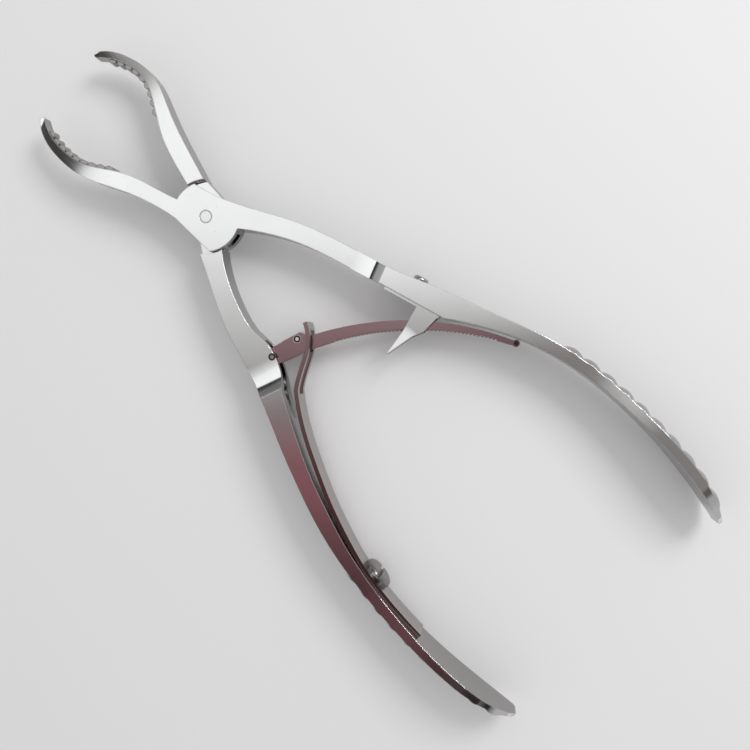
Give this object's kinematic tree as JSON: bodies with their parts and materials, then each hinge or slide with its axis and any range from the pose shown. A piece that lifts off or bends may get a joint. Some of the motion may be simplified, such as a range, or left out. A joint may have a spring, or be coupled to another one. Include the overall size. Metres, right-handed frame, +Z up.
{
  "type": "bone holding forceps",
  "caption": "Steel bone holding forceps with curved toothed jaws, a box joint, bowed ridged handles and a ratchet bar sprung by a leaf.",
  "frame": {"origin": "on the joint pin's axis, at the flat underside of the box joint", "axes": "+X towards the jaws, +Y towards the left handle seen from above with the jaws away, +Z up along the joint pin"},
  "size_m": [0.2032, 0.0868, 0.0134],
  "materials": {
    "satin_steel": "satin ground stainless steel",
    "polished_steel": "polished stainless steel",
    "spring_steel": "satin spring steel"
  },
  "bodies": {
    "box_side": {"box_half": "satin_steel", "joint_pin": "satin_steel", "ratchet_keeper": "polished_steel", "keeper_rivet": "satin_steel"},
    "through_side": {"through_half": "satin_steel", "leaf_spring": "spring_steel", "spring_screw": "polished_steel", "ratchet_pivot_pin": "satin_steel"},
    "ratchet": {"ratchet_bar": "polished_steel", "bar_cross_pin": "polished_steel", "bar_end_pin": "polished_steel"}
  },
  "joints": [
    {"name": "box_joint", "type": "hinge", "parent": "box_side", "child": "through_side", "pos_m": [0, 0, 0.0032], "axis": [0, 0, 1], "range_deg": [0, 22.2]},
    {"name": "ratchet_swing", "type": "hinge", "parent": "through_side", "child": "ratchet", "pos_m": [-0.0388, 0.0142, 0.0032], "axis": [0, 0, 1], "range_deg": [-41.2, 0]}
  ],
  "couplings": [
    {"joint": "ratchet_swing", "follows": "box_joint", "ratio": -1.85}
  ]
}
